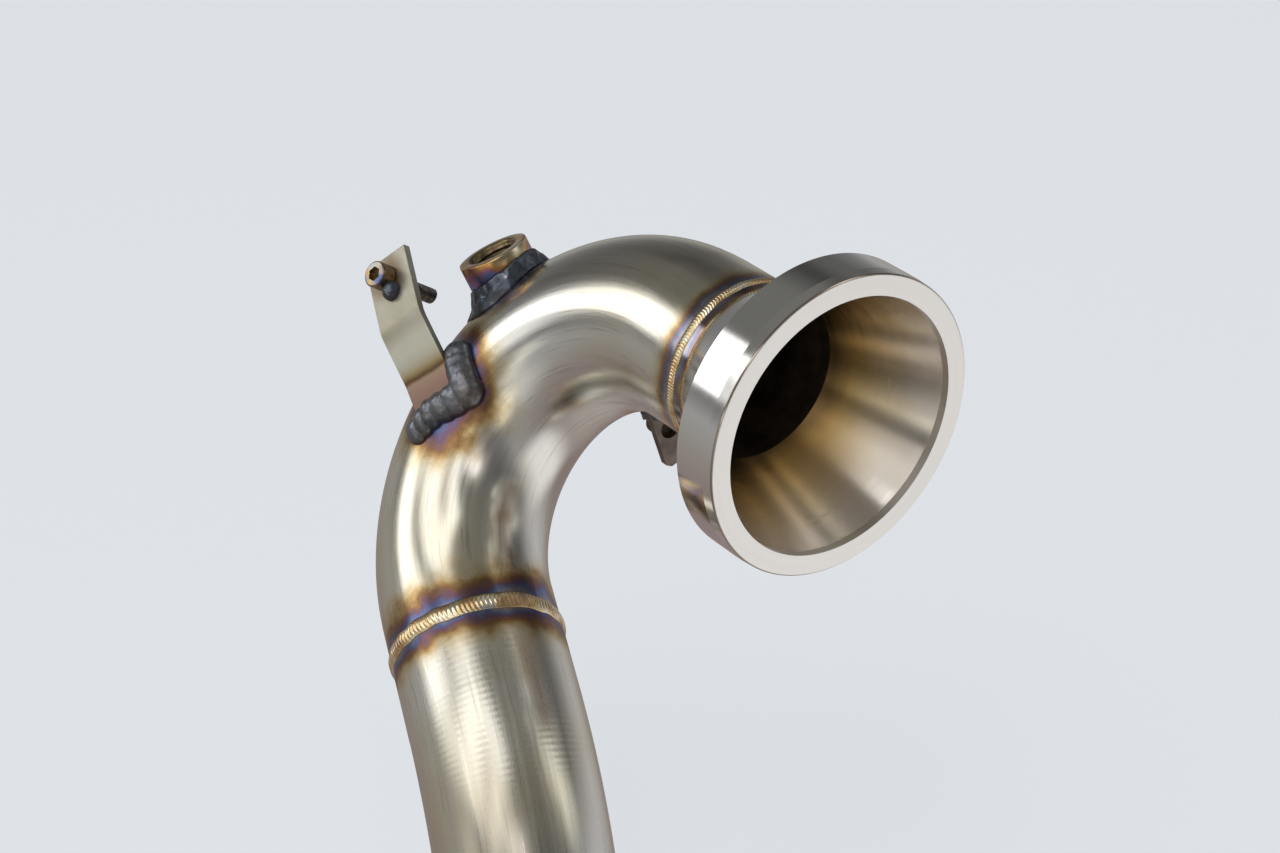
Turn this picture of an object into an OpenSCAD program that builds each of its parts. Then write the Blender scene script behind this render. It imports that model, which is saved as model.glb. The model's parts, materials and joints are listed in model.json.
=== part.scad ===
// Turbo downpipe: a turned flange cone, a mandrel-bent elbow, a lower pipe and what is welded to them.
// Millimetres, +Z up. The origin is the centre of the flange's front face, which looks towards -Y.

/* [Tube] */
// Outside diameter of both tubes
tube_od = 63.5; // [57:0.5:70]
// Wall of both tubes
tube_wall = 1.5; // [1.2:0.1:3]
// How far a mandrel bend is drawn in, in radius
bend_draw = 0.05; // [0.03:0.01:0.2]

/* [Elbow] */
// Straight leg between the flange and the bend
elbow_leg_in = 25; // [15:1:40]
// Centreline radius of the bend
bend_r = 70; // [66:1:90]
// Angle of the bend
bend_angle = 148; // [140:1:160]
// Straight leg between the bend and the lower pipe
elbow_leg_out = 16; // [8:1:30]
// Turn of the bend's plane about the flange axis, from straight down
elbow_roll = 36.3; // [25:0.1:45]

/* [Lower pipe] */
// Straight leg below the joint weld
lower_leg_in = 30; // [10:1:40]
// Centreline radius of the lower bend, which ends pointing straight down
lower_bend_r = 100; // [80:1:150]
// Straight run to the square-cut outlet
lower_leg_out = 25; // [15:1:60]

/* [Flange] */
// Outside diameter of the flange rim
rim_d = 110; // [106:0.5:120]
// Width of the rim, front to back
rim_w = 18.5; // [14:0.5:20]
// Width of the faint taper at the front of the rim
rim_taper_w = 4.6; // [3:0.1:6]
// How much that taper takes off the rim's radius at the face
rim_taper = 0.3; // [0.1:0.1:1]
// Inside diameter of the mouth
mouth_d = 94; // [84:0.5:96]
// Depth of the straight lip inside the mouth
lip_depth = 3; // [2:0.5:5]
// Length of the straight bore behind the inner cone
throat_len = 10; // [8:0.5:14]
// Whole depth of the flange, face to weld
flange_depth = 52.5; // [50:0.5:60]
// Wall of the cone
cone_wall = 3.3; // [2.5:0.1:4]
// Slope of the back of the rim, the seat of a clamp ring
rim_back_slope = 20; // [10:1:25]
// Edge chamfer on the flange
flange_chamfer = 0.5; // [0.3:0.1:0.8]

/* [Butt weld beads] */
// Width of the bead between flange and elbow
flange_bead_w = 4; // [3:0.5:8]
// Height of that bead
flange_bead_h = 0.8; // [0.5:0.1:2]
// Width of the bead between elbow and lower pipe
joint_bead_w = 5.5; // [3:0.5:9]
// Height of that bead
joint_bead_h = 1.1; // [0.5:0.1:2]

/* [Sensor boss] */
// Outside diameter of the boss
boss_d = 27; // [25:0.5:30]
// Height of the mouth over the tube wall, along the boss axis
boss_h = 14.7; // [12:0.1:20]
// Minor diameter of the M18 x 1.5 thread
boss_bore_d = 16.4; // [12:0.1:18]
// Diameter of the chamfer at the mouth
boss_mouth_d = 19.6; // [17:0.1:21]
// Radial clearance of the hole in the elbow round the thread's bore
boss_hole_gap = 0.8; // [0.5:0.1:1.5]
// Place of the boss along the bend, degrees from its start
boss_at = 58.5; // [45:0.5:62]
// Place of the boss around the tube, degrees from the outside of the bend
boss_round = -31; // [-50:1:-20]
// Lean of the boss from square to the tube
boss_lean = 24; // [0:1:28]
// Heading of that lean, from the run of the tube
boss_lean_heading = 133; // [110:1:150]
// Reach of the boss weld out from the boss
boss_weld_w = 6.5; // [3:0.5:8]
// Height of the boss weld over the tube
boss_weld_h = 6.5; // [2:0.5:7]

/* [Hanger strap] */
// Width of the strap
strap_w = 20; // [18:0.5:24]
// Thickness of the strap
strap_t = 3; // [2:0.1:4]
// Length of the foot on the tube
strap_foot = 11; // [8:0.5:16]
// Length of the rising middle
strap_rise = 21.2; // [14:0.1:30]
// Length of the tab at the top
strap_tab = 28.5; // [20:0.5:40]
// Slope of the foot against the tab
strap_foot_slope = 12.4; // [5:0.1:20]
// Slope of the middle against the tab
strap_rise_slope = 21.2; // [15:0.1:30]
// Radius of the strap's two bends, on the inside
strap_bend_r = 12; // [8:1:16]
// Place of the strap along the bend, degrees from its start
strap_at = 85; // [75:0.1:95]
// Place of the strap around the tube, degrees from the outside of the bend
strap_round = -83.2; // [-90:0.1:-75]
// Turns that set the strap on the tube: roll, pitch and heading
strap_turn = [4, -8.6, -121.4];
// Lift of the strap's foot line off the tube, taken up by the weld
strap_lift = 1.7; // [1.2:0.1:2.4]
// Length of that weld up the foot's side
strap_weld_l = 12.5; // [8:0.5:16]
// Radius of the weld lumps beside the foot
strap_weld_r = 5.2; // [3:0.1:6]

/* [Strap screw] */
// Thread diameter of the cap screw
screw_d = 6; // [5:1:8]
// Length under the head
screw_l = 25; // [16:1:40]
// Head diameter
screw_head_d = 10; // [9:0.5:13]
// Head height
screw_head_h = 6; // [4:0.5:8]
// Hex key size
screw_key = 5; // [4:1:6]
// Depth of the hex socket
screw_key_depth = 3; // [2:0.5:4]
// Plain neck under the head, as thick as the thread's pitch diameter
screw_neck_l = 4; // [3.5:0.5:8]
// Pitch of the thread, which sets that diameter
screw_pitch = 1; // [0.8:0.05:1.25]
// Radial clearance of the screw in its hole
screw_gap = 0.3; // [0.1:0.1:0.6]
// Distance of the screw from the strap's top edge
screw_from_top = 8.5; // [6:0.5:10]
// Distance of the screw from the strap's middle line
screw_off = 1.5; // [0:0.5:4]
// Radius of the tack weld on the head
tack_r = 3.4; // [2:0.1:5]

/* [Rear bracket] */
// Width of the bracket
rear_w = 13; // [12:0.5:20]
// Thickness of the bracket
rear_t = 3; // [2:0.1:4]
// Diameter of its hole
rear_hole_d = 8.5; // [6:0.1:9]
// Distance of the front face behind the start of the bend
rear_back = 14.5; // [12:0.5:18]
// Angle of the bracket from straight down, about the flange axis
rear_angle = 18; // [10:1:25]
// Distance of its middle line from the flange axis
rear_off = -14.5; // [-18:0.5:-12]
// Distance of the hole out past the tube's radius, along the bracket
rear_hole_out = 8; // [5:0.5:12]
// Distance from the hole to the bracket's end
rear_end = 16; // [12:0.5:20]
// Small clipped corner of the bracket
rear_clip = 2; // [1:0.5:2.5]
// Large clipped corner of the bracket
rear_slant = 8.5; // [6:0.5:9]
// Outside diameter of the round nut welded behind the hole
rear_nut_d = 10.5; // [9.5:0.1:12]
// Length of that nut
rear_nut_l = 5; // [3:0.5:8]
// Minor diameter of its thread
rear_nut_bore_d = 6.6; // [5:0.1:7]
// Reach of its root weld
rear_weld_w = 3; // [2:0.5:4]

/* [Hidden] */
$fn = 96;
small_fn = 48;
// Over-cut that keeps faces of cutting tools off the faces they cut
eps = 1;
// Clearance left under the weld metal, so that it meets its parts without biting into them
weld_gap = 0.02;

tube_r = tube_od/2;
bore_r = tube_r - tube_wall;
bend_wall_r = tube_r - bend_draw;
// How far a leg runs over the bend
bend_seat = 1;
rim_r = rim_d/2;
face_r = rim_r - rim_taper;
lip_r = mouth_d/2;
throat_depth = flange_depth - throat_len;

steel = [0.80, 0.79, 0.77];
turned = [0.88, 0.88, 0.87];
straw = [0.80, 0.72, 0.55];
weld_grey = [0.38, 0.40, 0.43];

// Directions of the elbow and of the lower pipe
down = [0, 0, -1];
inlet_dir = [0, 1, 0];
bend_side = [-sin(elbow_roll), 0, -cos(elbow_roll)];
joint_dir = cos(bend_angle)*inlet_dir + sin(bend_angle)*bend_side;
joint_side = cos(bend_angle)*bend_side - sin(bend_angle)*inlet_dir;
lower_turn = acos(down*joint_dir);
lower_side = unit(down - (down*joint_dir)*joint_dir);
lower_heading = atan2(lower_side*cross(joint_dir, joint_side), lower_side*joint_side);

function unit(v) = v/norm(v);

// Nearest point of the bend's outer wall, in the elbow's own frame
function onto_bend(p) =
    let (ring = unit([p[0] - bend_r, 0, p[2] - elbow_leg_in]),
         centre = [bend_r, 0, elbow_leg_in] + bend_r*ring)
    centre + bend_wall_r*unit(p - centre);

// A point turned about one axis
function about_x(a, v) = [v[0], v[1]*cos(a) - v[2]*sin(a), v[1]*sin(a) + v[2]*cos(a)];
function about_y(a, v) = [v[0]*cos(a) + v[2]*sin(a), v[1], -v[0]*sin(a) + v[2]*cos(a)];
function about_z(a, v) = [v[0]*cos(a) - v[1]*sin(a), v[0]*sin(a) + v[1]*cos(a), v[2]];

// A point of the strap's frame, in the elbow's own frame
function strap_point(p) =
    let (turned = about_z(strap_turn[2], about_y(strap_turn[1], about_x(strap_turn[0], p))),
         local = about_y(-90, about_x(strap_round, turned + [0, 0, bend_wall_r])))
    about_y(strap_at, local - [bend_r, 0, 0]) + [bend_r, 0, elbow_leg_in];

// Elbow frame: the flange end of the elbow at the origin, running along +Z and bending towards +X
module at_elbow() {
    translate([0, flange_depth, 0])
        rotate([0, 90 + elbow_roll, 0])
            rotate([-90, 0, 0])
                children();
}

// On the outer wall of the bend: X along the tube, Z outwards
module on_bend(along, round) {
    at_elbow()
        translate([bend_r, 0, elbow_leg_in])
            rotate([0, along, 0])
                translate([-bend_r, 0, 0])
                    rotate([0, -90, 0])
                        rotate([round, 0, 0])
                            translate([0, 0, bend_wall_r])
                                children();
}

// End of the elbow: +Z along the lower pipe, +X towards the inside of its bend
module at_joint() {
    at_elbow()
        translate([bend_r, 0, elbow_leg_in])
            rotate([0, bend_angle, 0])
                translate([-bend_r, 0, elbow_leg_out])
                    rotate([0, 0, lower_heading])
                        children();
}

// A round wall along +Z, from the given start
module leg(start, h) {
    translate([0, 0, start])
        linear_extrude(h - start)
            difference() {
                circle(tube_r);
                circle(bore_r);
            }
}

// A straight leg, a bend towards +X and another straight leg. The legs run a little way over the bend,
// which is drawn in, so the three make one wall with a faint step at each end of the bend
module bent_tube(leg_in, radius, angle, leg_out) {
    leg(0, leg_in + bend_seat);
    translate([radius, 0, leg_in]) {
        rotate([90, 0, 180])
            rotate_extrude(angle = angle)
                translate([radius, 0])
                    difference() {
                        circle(bend_wall_r);
                        circle(bend_wall_r - tube_wall);
                    }
        rotate([0, angle, 0])
            translate([-radius, 0, 0])
                leg(-bend_seat, leg_out);
    }
}

// The solid of the elbow's bend, grown by a clearance or a weld's height
module bend_solid(grow) {
    at_elbow()
        translate([bend_r, 0, elbow_leg_in])
            rotate([90, 0, 180])
                rotate_extrude(angle = bend_angle)
                    translate([bend_r, 0])
                        circle(bend_wall_r + grow);
}

// Ring bead: a cap of a circle, turned about the tube
module bead(width, height) {
    cap_r = (pow(width/2, 2) + pow(height, 2))/(2*height);
    rotate_extrude()
        intersection() {
            translate([tube_r - cap_r + height, 0])
                circle(cap_r);
            translate([tube_r, -width])
                square([height + eps, 2*width]);
        }
}

module turbo_flange() {
    slope = (lip_r - bore_r)/(throat_depth - lip_depth);
    wall = cone_wall*sqrt(1 + slope*slope);
    edge_r = rim_r - flange_chamfer;
    back_run = (edge_r - lip_r + slope*(rim_w - lip_depth) - wall)/(1 - slope*tan(rim_back_slope));
    neck_start = lip_depth + (lip_r + wall - tube_r)/slope;
    color(turned)
        rotate([-90, 0, 0])
            rotate_extrude($fn = 180)
                polygon([
                    [lip_r, 0],
                    [face_r - flange_chamfer, 0],
                    [face_r, flange_chamfer],
                    [rim_r, rim_taper_w],
                    [rim_r, rim_w - flange_chamfer],
                    [edge_r, rim_w],
                    [edge_r - back_run, rim_w + back_run*tan(rim_back_slope)],
                    [tube_r, neck_start],
                    [tube_r, flange_depth],
                    [bore_r, flange_depth],
                    [bore_r, throat_depth],
                    [lip_r, lip_depth]
                ]);
}

module flange_weld() {
    color(straw)
        at_elbow()
            bead(flange_bead_w, flange_bead_h);
}

module elbow() {
    color(steel)
        difference() {
            at_elbow()
                bent_tube(elbow_leg_in, bend_r, bend_angle, elbow_leg_out);
            at_boss()
                translate([0, 0, -tube_r])
                    cylinder(r = boss_bore_d/2 + boss_hole_gap, h = tube_r + boss_h, $fn = small_fn);
        }
}

module joint_weld() {
    color(straw)
        at_joint()
            bead(joint_bead_w, joint_bead_h);
}

module lower_pipe() {
    color(steel)
        at_joint()
            bent_tube(lower_leg_in, lower_bend_r, lower_turn, lower_leg_out);
}

// Boss frame: +Z out along the boss, from the wall of the bend
module at_boss() {
    on_bend(boss_at, boss_round)
        rotate([0, 0, boss_lean_heading])
            rotate([0, boss_lean, 0])
                children();
}

module sensor_boss() {
    chamfer = (boss_mouth_d - boss_bore_d)/2;
    color(straw)
        difference() {
            at_boss()
                translate([0, 0, -boss_d/2])
                    cylinder(r = boss_d/2, h = boss_h + boss_d/2);
            bend_solid(0);
            at_boss() {
                translate([0, 0, -boss_d])
                    cylinder(r = boss_bore_d/2, h = boss_d + boss_h + eps, $fn = small_fn);
                translate([0, 0, boss_h - chamfer])
                    cylinder(r1 = boss_bore_d/2, r2 = boss_mouth_d/2 + eps, h = chamfer + eps, $fn = small_fn);
            }
        }
}

module boss_weld() {
    reach = boss_d/2 + boss_weld_w;
    color(weld_grey)
        difference() {
            intersection() {
                bend_solid(boss_weld_h);
                at_boss()
                    translate([0, 0, -boss_d/2])
                        cylinder(r1 = reach + boss_weld_w/2, r2 = boss_d/2 - eps, h = boss_d/2 + boss_h);
            }
            bend_solid(weld_gap);
            at_boss()
                translate([0, 0, -boss_d])
                    cylinder(r = boss_d/2 + weld_gap, h = boss_d + boss_h);
        }
}

// Strap frame: +X up the strap, +Z outwards, +Y across it
module at_strap() {
    on_bend(strap_at, strap_round)
        rotate(strap_turn)
            children();
}

// The strap's corners on its back face, in the strap frame: foot end, foot bend, tab bend and top
strap_foot_x = strap_foot/2*cos(strap_foot_slope);
strap_line = [
    [-strap_foot_x, strap_lift - strap_foot/2*sin(strap_foot_slope)],
    [strap_foot_x, strap_lift + strap_foot/2*sin(strap_foot_slope)],
    [strap_foot_x + strap_rise*cos(strap_rise_slope),
     strap_lift + strap_foot/2*sin(strap_foot_slope) + strap_rise*sin(strap_rise_slope)],
    [strap_foot_x + strap_rise*cos(strap_rise_slope) + strap_tab,
     strap_lift + strap_foot/2*sin(strap_foot_slope) + strap_rise*sin(strap_rise_slope)]
];

// Square to the strip at a slope, towards its front
function strap_normal(slope) = [-sin(slope), cos(slope)];

// One of the strap's bends: its back face's points, each with the slope there
function strap_arc(corner, from, to) =
    let (side = sign(to - from),
         radius = strap_bend_r + (side > 0 ? strap_t : 0),
         run = radius*tan(abs(to - from)/2),
         centre = corner - run*[cos(from), sin(from)] + side*radius*strap_normal(from))
    [for (slope = [from:(to - from)/6:to]) [centre - side*radius*strap_normal(slope), slope]];

strap_track = concat(
    [[strap_line[0], strap_foot_slope]],
    strap_arc(strap_line[1], strap_foot_slope, strap_rise_slope),
    strap_arc(strap_line[2], strap_rise_slope, 0),
    [[strap_line[3], 0]]
);

module strap_strip(grow) {
    front = [for (stop = strap_track) stop[0] + (strap_t + grow)*strap_normal(stop[1])];
    back = [for (i = [len(strap_track) - 1:-1:0]) strap_track[i][0] - grow*strap_normal(strap_track[i][1])];
    at_strap()
        rotate([90, 0, 0])
            translate([0, 0, -strap_w/2 - grow])
                linear_extrude(strap_w + 2*grow)
                    polygon(concat(front, back));
}

// Screw frame: the strap's outer face at the screw, +Z out along the screw
module at_screw() {
    at_strap()
        translate([strap_line[3][0] - screw_from_top, screw_off, strap_line[3][1] + strap_t])
            children();
}

module hanger_strap() {
    color(steel)
        difference() {
            strap_strip(0);
            bend_solid(0);
            at_screw()
                translate([0, 0, -strap_t - eps])
                    cylinder(r = screw_d/2 + screw_gap, h = strap_t + 2*eps, $fn = small_fn);
        }
}

// Weld lumps down one side of the strap's foot and round under its end
module strap_weld() {
    side_y = -strap_w/2 - strap_weld_r/2;
    end_x = -strap_foot/2 - strap_weld_r/2;
    top_x = strap_weld_l - strap_foot/2;
    lumps = [
        for (u = [0:0.25:0.75]) [top_x + (end_x - top_x)*u, side_y, strap_weld_r*(0.9 + 0.1*u)],
        for (u = [0:0.2:1]) [end_x, side_y + (strap_w + 1.5*strap_weld_r)*u, strap_weld_r*(1 - 0.1*u)]
    ];
    color(weld_grey)
        difference() {
            at_elbow()
                for (lump = lumps)
                    translate(onto_bend(strap_point([lump[0], lump[1], 0])))
                        sphere(lump[2], $fn = small_fn);
            bend_solid(weld_gap);
            strap_strip(weld_gap);
        }
}

module strap_screw() {
    edge = screw_head_d/20;
    color(steel)
        at_screw()
            difference() {
                union() {
                    cylinder(r = screw_head_d/2, h = screw_head_h - edge, $fn = small_fn);
                    translate([0, 0, screw_head_h - edge])
                        cylinder(r1 = screw_head_d/2, r2 = screw_head_d/2 - edge, h = edge, $fn = small_fn);
                    translate([0, 0, -screw_neck_l - eps])
                        cylinder(r = screw_d/2 - 0.325*screw_pitch, h = screw_neck_l + 2*eps, $fn = small_fn);
                    translate([0, 0, -screw_l + edge])
                        cylinder(r = screw_d/2, h = screw_l - edge - screw_neck_l, $fn = small_fn);
                    translate([0, 0, -screw_l])
                        cylinder(r1 = screw_d/2 - edge, r2 = screw_d/2, h = edge, $fn = small_fn);
                }
                translate([0, 0, screw_head_h - screw_key_depth])
                    cylinder(r = screw_key/sqrt(3), h = screw_key_depth + eps, $fn = 6);
            }
}

module screw_tack_weld() {
    color(weld_grey)
        difference() {
            at_screw()
                translate([-screw_head_d/2 - tack_r/2, -tack_r/2, tack_r/4])
                    sphere(tack_r, $fn = small_fn);
            at_screw()
                translate([0, 0, -eps])
                    cylinder(r = screw_head_d/2 + weld_gap, h = screw_head_h + 2*eps, $fn = small_fn);
            strap_strip(weld_gap);
        }
}

// Bracket frame: its front face in the XZ plane, +Z down along the bracket from the flange axis's level
module at_rear() {
    translate([0, flange_depth + elbow_leg_in + rear_back, 0])
        rotate([0, 180 - rear_angle, 0])
            children();
}

rear_hole_z = tube_r + rear_hole_out;
rear_tip_z = rear_hole_z + rear_end;

module rear_outline(grow) {
    half = rear_w/2 + grow;
    tip = rear_tip_z;
    translate([-rear_off, 0])
        polygon([
            [-half, 0],
            [-half, tip - rear_slant],
            [-half + rear_slant, tip],
            [half - rear_clip, tip],
            [half, tip - rear_clip],
            [half, 0]
        ]);
}

module rear_plate(grow) {
    at_rear()
        rotate([90, 0, 0])
            translate([0, 0, -rear_t - grow])
                linear_extrude(rear_t + 2*grow)
                    rear_outline(grow);
}

module rear_bracket() {
    color(steel)
        difference() {
            rear_plate(0);
            bend_solid(0);
            at_rear()
                translate([-rear_off, -eps, rear_hole_z])
                    rotate([-90, 0, 0])
                        cylinder(r = rear_hole_d/2, h = rear_t + 2*eps, $fn = small_fn);
        }
}

// Nut frame: the bracket's back face at its hole, +Z away from the flange
module at_rear_nut() {
    at_rear()
        translate([-rear_off, rear_t, rear_hole_z])
            rotate([-90, 0, 0])
                children();
}

module rear_nut() {
    color(steel)
        at_rear_nut()
            linear_extrude(rear_nut_l)
                difference() {
                    circle(rear_nut_d/2, $fn = small_fn);
                    circle(rear_nut_bore_d/2, $fn = small_fn);
                }
}

module rear_bracket_weld() {
    color(weld_grey)
        difference() {
            intersection() {
                bend_solid(rear_weld_w);
                at_rear()
                    translate([-rear_off - rear_w/2 - rear_weld_w, -rear_weld_w, tube_r/2])
                        cube([rear_w + rear_weld_w, rear_t + 2*rear_weld_w, tube_r]);
            }
            bend_solid(weld_gap);
            rear_plate(weld_gap);
            at_rear_nut()
                linear_extrude(rear_nut_l + eps)
                    circle(rear_nut_d/2 + weld_gap, $fn = small_fn);
        }
}

turbo_flange();
flange_weld();
elbow();
joint_weld();
lower_pipe();
sensor_boss();
boss_weld();
hanger_strap();
strap_weld();
strap_screw();
screw_tack_weld();
rear_bracket();
rear_nut();
rear_bracket_weld();
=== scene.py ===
# %% [markdown]
# # A turbo downpipe in welded stainless steel
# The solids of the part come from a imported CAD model, which is loaded here as a fixed frame. Nothing in it
# is moved. What this lesson adds is the surface: brushed and turned steel, temper colours beside the welds,
# rippled and lumpy weld metal, and the threads. Everything is in metres.

# %% Load the frame
import json
import math

import bmesh
import bpy
from mathutils import Matrix, Vector, kdtree, noise


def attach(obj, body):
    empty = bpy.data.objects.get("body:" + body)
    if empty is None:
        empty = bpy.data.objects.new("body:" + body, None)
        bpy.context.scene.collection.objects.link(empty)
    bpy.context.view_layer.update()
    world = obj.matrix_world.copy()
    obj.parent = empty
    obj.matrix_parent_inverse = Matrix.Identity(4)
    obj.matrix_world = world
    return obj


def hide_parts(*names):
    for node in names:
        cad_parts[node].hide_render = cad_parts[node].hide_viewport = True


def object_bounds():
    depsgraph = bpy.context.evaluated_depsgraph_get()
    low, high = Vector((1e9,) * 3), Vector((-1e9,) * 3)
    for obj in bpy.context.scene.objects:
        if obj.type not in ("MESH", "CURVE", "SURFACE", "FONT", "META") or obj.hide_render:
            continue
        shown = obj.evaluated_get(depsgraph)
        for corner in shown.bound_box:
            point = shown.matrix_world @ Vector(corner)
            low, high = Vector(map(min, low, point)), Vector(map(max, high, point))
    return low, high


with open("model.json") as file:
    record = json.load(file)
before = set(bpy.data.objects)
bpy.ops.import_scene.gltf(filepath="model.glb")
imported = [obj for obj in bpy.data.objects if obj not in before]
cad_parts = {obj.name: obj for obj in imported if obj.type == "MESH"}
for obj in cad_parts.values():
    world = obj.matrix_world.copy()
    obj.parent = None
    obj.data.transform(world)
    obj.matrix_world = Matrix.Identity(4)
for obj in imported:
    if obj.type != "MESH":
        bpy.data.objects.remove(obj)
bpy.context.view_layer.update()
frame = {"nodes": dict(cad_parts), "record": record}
nodes = frame["nodes"]
mounts = {mount["name"]: mount for mount in frame["record"]["mounts"]}
MM = 0.001
print("nodes:", sorted(nodes))

# %% [markdown]
# The camera stands where a fit to the rim, the mouth and the pipe's outlines put it: about 0.9 m away, 30
# degrees above the flange and to its left. A 76 mm lens on a 36 mm sensor keeps the perspective mild.

# %% Camera
CAMERA_AT = Vector((-0.51193, -0.58302, 0.44762))
CAMERA_LOOK = Vector((0.51295, 0.69728, -0.50069))
camera_data = bpy.data.cameras.new("camera")
camera_data.lens = 75.94
camera_data.sensor_width = 36
camera = bpy.data.objects.new("camera", camera_data)
camera.location = CAMERA_AT
camera.rotation_euler = CAMERA_LOOK.to_track_quat("-Z", "Y").to_euler()
bpy.context.scene.collection.objects.link(camera)
bpy.context.scene.camera = camera
bpy.context.scene.view_settings.view_transform = "Standard"

# %% [markdown]
# The pieces of the part sit in a few frames of their own. Each is a matrix: its columns are the directions
# of the local axes, and its last column is where the local origin lies. The elbow bends in a plane that is
# rolled about the flange axis, and the boss and the screw follow the axes in the record of the part.

# %% Frames of the pieces
TUBE_R = 31.75 * MM
WALL = 1.5 * MM
FLANGE_DEPTH = 52.5 * MM
ELBOW_LEG = 25 * MM
BEND_R = 70 * MM
ELBOW_ROLL = math.radians(36.3)
JOINT_AT = Vector((-81.604, 101.026, -111.091)) * MM
JOINT_RUN = Vector((-0.31374, -0.84806, -0.42706)).normalized()


def frame_of(origin, along, side):
    """A matrix whose +Z runs along, whose +X leans to side and whose origin is origin."""
    z = along.normalized()
    x = (side - side.dot(z) * z).normalized()
    y = z.cross(x)
    return Matrix.Translation(origin) @ Matrix((x, y, z)).transposed().to_4x4()


bend_side = Vector((-math.sin(ELBOW_ROLL), 0, -math.cos(ELBOW_ROLL)))
elbow_frame = frame_of(Vector((0, FLANGE_DEPTH, 0)), Vector((0, 1, 0)), bend_side)
bend_centre = elbow_frame @ Vector((BEND_R, 0, ELBOW_LEG))
joint_frame = frame_of(JOINT_AT, JOINT_RUN, Vector((0, 0, -1)))
boss_axis = Vector(mounts["sensor_port"]["axis"]).normalized()
boss_port = Vector(mounts["sensor_port"]["pos_m"])
stud_axis = Vector(mounts["strap_stud"]["axis"]).normalized()
stud_end = Vector(mounts["strap_stud"]["pos_m"])
print("bend centre:", [round(c, 4) for c in bend_centre])

# %% [markdown]
# The middle line of the pipe is used again and again: to tell inner faces from outer ones, and to set pieces
# down on the round wall. It is walked once, leg by bend by leg, and its points go into a tree that finds the
# nearest one.

# %% Middle line of the pipe
ELBOW_ANGLE = math.radians(148)
ELBOW_LEG_OUT = 16 * MM
LOWER_LEG = 30 * MM
LOWER_BEND_R = 100 * MM
LOWER_LEG_OUT = 25 * MM
STEP = 0.5 * MM
DOWN = Vector((0, 0, -1))


def walk(start, run, side, legs):
    """Points along a leg, a bend towards side and a leg. legs is (leg, radius, angle, leg)."""
    leg_in, radius, angle, leg_out = legs
    points = [start + run * s * STEP for s in range(int(leg_in / STEP))]
    centre = start + run * leg_in + side * radius
    turns = int(radius * angle / STEP)
    for i in range(turns + 1):
        a = angle * i / turns
        points.append(centre - side * radius * math.cos(a) + run * radius * math.sin(a))
    out = run * math.cos(angle) + side * math.sin(angle)
    end = points[-1]
    points += [end + out * s * STEP for s in range(1, int(leg_out / STEP) + 1)]
    return points


flange_run = Vector((0, 1, 0))
lower_turn = math.acos(JOINT_RUN.dot(DOWN))
lower_side = (DOWN - JOINT_RUN.dot(DOWN) * JOINT_RUN).normalized()
lower_centre = JOINT_AT + JOINT_RUN * LOWER_LEG + lower_side * LOWER_BEND_R
middle_line = walk(Vector((0, FLANGE_DEPTH, 0)), flange_run, bend_side, (ELBOW_LEG, BEND_R, ELBOW_ANGLE, ELBOW_LEG_OUT))
middle_line += walk(JOINT_AT, JOINT_RUN, lower_side, (LOWER_LEG, LOWER_BEND_R, lower_turn, LOWER_LEG_OUT))
middle_tree = kdtree.KDTree(len(middle_line))
for number, point in enumerate(middle_line):
    middle_tree.insert(point, number)
middle_tree.balance()


def off_middle(point):
    """Distance of a point from the pipe's middle line."""
    return middle_tree.find(point)[2]


print("middle line:", len(middle_line), "points, ends at", [round(c, 4) for c in middle_line[-1]])

# %% [markdown]
# ## Shaders
# Every finish here is metal, so each material is a Principled BSDF with its colour, roughness and a little
# bump fed by small node groups. A group is built once and placed in each material with its own values.

# %% Node helpers
def new_group(name, inputs, outputs):
    """An empty shader group with named sockets; each entry is (name, kind) or (name, kind, default)."""
    group = bpy.data.node_groups.new(name, "ShaderNodeTree")
    for label, kind, *default in inputs:
        socket = group.interface.new_socket(label, in_out="INPUT", socket_type="NodeSocket" + kind)
        if default:
            socket.default_value = default[0]
    for label, kind in outputs:
        group.interface.new_socket(label, in_out="OUTPUT", socket_type="NodeSocket" + kind)
    return group, group.nodes.new("NodeGroupInput").outputs, group.nodes.new("NodeGroupOutput").inputs


def put(tree, kind, links=None, values=None, **settings):
    """Adds a node, sets its properties, fills its sockets and links it. Returns its outputs."""
    node = tree.nodes.new("ShaderNode" + kind)
    for key, value in settings.items():
        setattr(node, key, value)
    for key, value in (values or {}).items():
        node.inputs[key].default_value = value
    for key, source in (links or {}).items():
        tree.links.new(source, node.inputs[key])
    return node.outputs


def maths(tree, operation, a, b=None, c=None):
    """One Math node; an input that is a socket is linked, and a number is set."""
    links = {i: x for i, x in enumerate((a, b, c)) if isinstance(x, bpy.types.NodeSocket)}
    values = {i: x for i, x in enumerate((a, b, c)) if isinstance(x, (int, float))}
    return put(tree, "Math", links, values, operation=operation)[0]


def vector_maths(tree, operation, a, b=None):
    """One Vector Math node, filled the same way."""
    links = {i: x for i, x in enumerate((a, b)) if isinstance(x, bpy.types.NodeSocket)}
    values = {i: tuple(x) for i, x in enumerate((a, b)) if x is not None and not isinstance(x, bpy.types.NodeSocket)}
    out = put(tree, "VectorMath", links, values, operation=operation)
    return out["Value"] if operation in ("DOT_PRODUCT", "LENGTH", "DISTANCE") else out["Vector"]


def blend_colour(tree, factor, a, b, mode="MIX"):
    """Mixes two colours; each of the three may be a socket or a value."""
    node = tree.nodes.new("ShaderNodeMix")
    node.data_type = "RGBA"
    node.blend_type = mode
    for index, source in ((0, factor), (6, a), (7, b)):
        if isinstance(source, bpy.types.NodeSocket):
            tree.links.new(source, node.inputs[index])
        else:
            node.inputs[index].default_value = source if index == 0 else (*source, 1)
    return node.outputs[2]


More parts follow.
